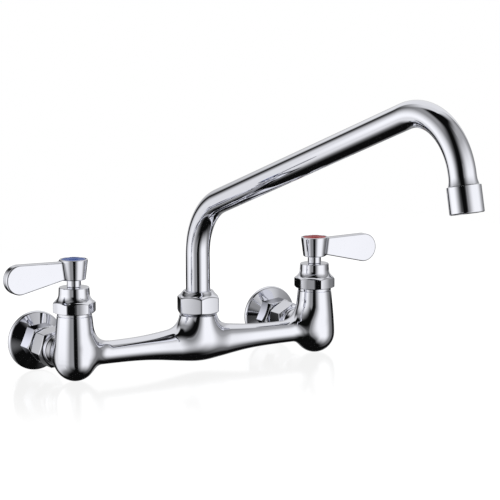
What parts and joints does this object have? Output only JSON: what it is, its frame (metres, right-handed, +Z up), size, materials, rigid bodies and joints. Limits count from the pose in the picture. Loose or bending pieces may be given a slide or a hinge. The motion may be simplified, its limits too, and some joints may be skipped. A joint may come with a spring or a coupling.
{
  "type": "commercial wall faucet",
  "caption": "Wall-mounted commercial faucet: two quarter-turn lever valves on a cast bar body, flanged wall inlets and a swinging bent-tube spout with an aerator.",
  "frame": {"origin": "on the wall plane, midway between the two supply inlets, at the height of their axes", "axes": "+Z up, +Y into the wall, X along the bar with the blue valve at -X"},
  "size_m": [0.311, 0.3834, 0.2211],
  "materials": {
    "chrome": "mirror-bright chromium plate on polished brass",
    "brass": "machined, unplated",
    "steel": "stainless, machined",
    "ceramic": "lapped alumina ceramic",
    "rubber": "moulded nitrile, matt",
    "fibre": "vulcanised fibre sheet, punched",
    "nylon": "moulded, natural white",
    "index_blue": "moulded, glossy blue",
    "index_red": "moulded, glossy red"
  },
  "bodies": {
    "faucet_body": {"body_casting": "chrome", "flanged_inlet_left": "chrome", "coupling_nut_left": "chrome", "inlet_tailpiece_left": "brass", "union_washer_left": "fibre", "seat_seal_left": "rubber", "fixed_disc_left": "ceramic", "cartridge_housing_left": "brass", "bonnet_nut_left": "chrome", "flanged_inlet_right": "chrome", "coupling_nut_right": "chrome", "inlet_tailpiece_right": "brass", "union_washer_right": "fibre", "seat_seal_right": "rubber", "fixed_disc_right": "ceramic", "cartridge_housing_right": "brass", "bonnet_nut_right": "chrome", "spout_nut": "chrome", "retaining_ring": "nylon"},
    "spout": {"spout_tube": "chrome", "spout_bushing": "brass", "spout_o_ring_low": "rubber", "spout_o_ring_high": "rubber", "aerator_housing": "chrome", "aerator_washer": "rubber", "aerator_screen": "steel", "aerator_insert": "nylon"},
    "handle_left": {"handle_left": "chrome", "handle_screw_left": "steel", "index_button_left": "index_blue", "cartridge_stem_left": "brass", "stem_o_ring_left": "rubber", "moving_disc_left": "ceramic"},
    "handle_right": {"handle_right": "chrome", "handle_screw_right": "steel", "index_button_right": "index_red", "cartridge_stem_right": "brass", "stem_o_ring_right": "rubber", "moving_disc_right": "ceramic"}
  },
  "joints": [
    {"name": "spout_swing", "type": "hinge", "parent": "faucet_body", "child": "spout", "pos_m": [0, -0.069, 0.031], "axis": [0, 0, 1], "range_deg": [-99.8, 90.2]},
    {"name": "left_valve_turn", "type": "hinge", "parent": "faucet_body", "child": "handle_left", "pos_m": [-0.1016, -0.069, 0.0508], "axis": [0, 0, 1], "range_deg": [0, 90]},
    {"name": "right_valve_turn", "type": "hinge", "parent": "faucet_body", "child": "handle_right", "pos_m": [0.1016, -0.069, 0.0508], "axis": [0, 0, 1], "range_deg": [-90, 0]}
  ]
}
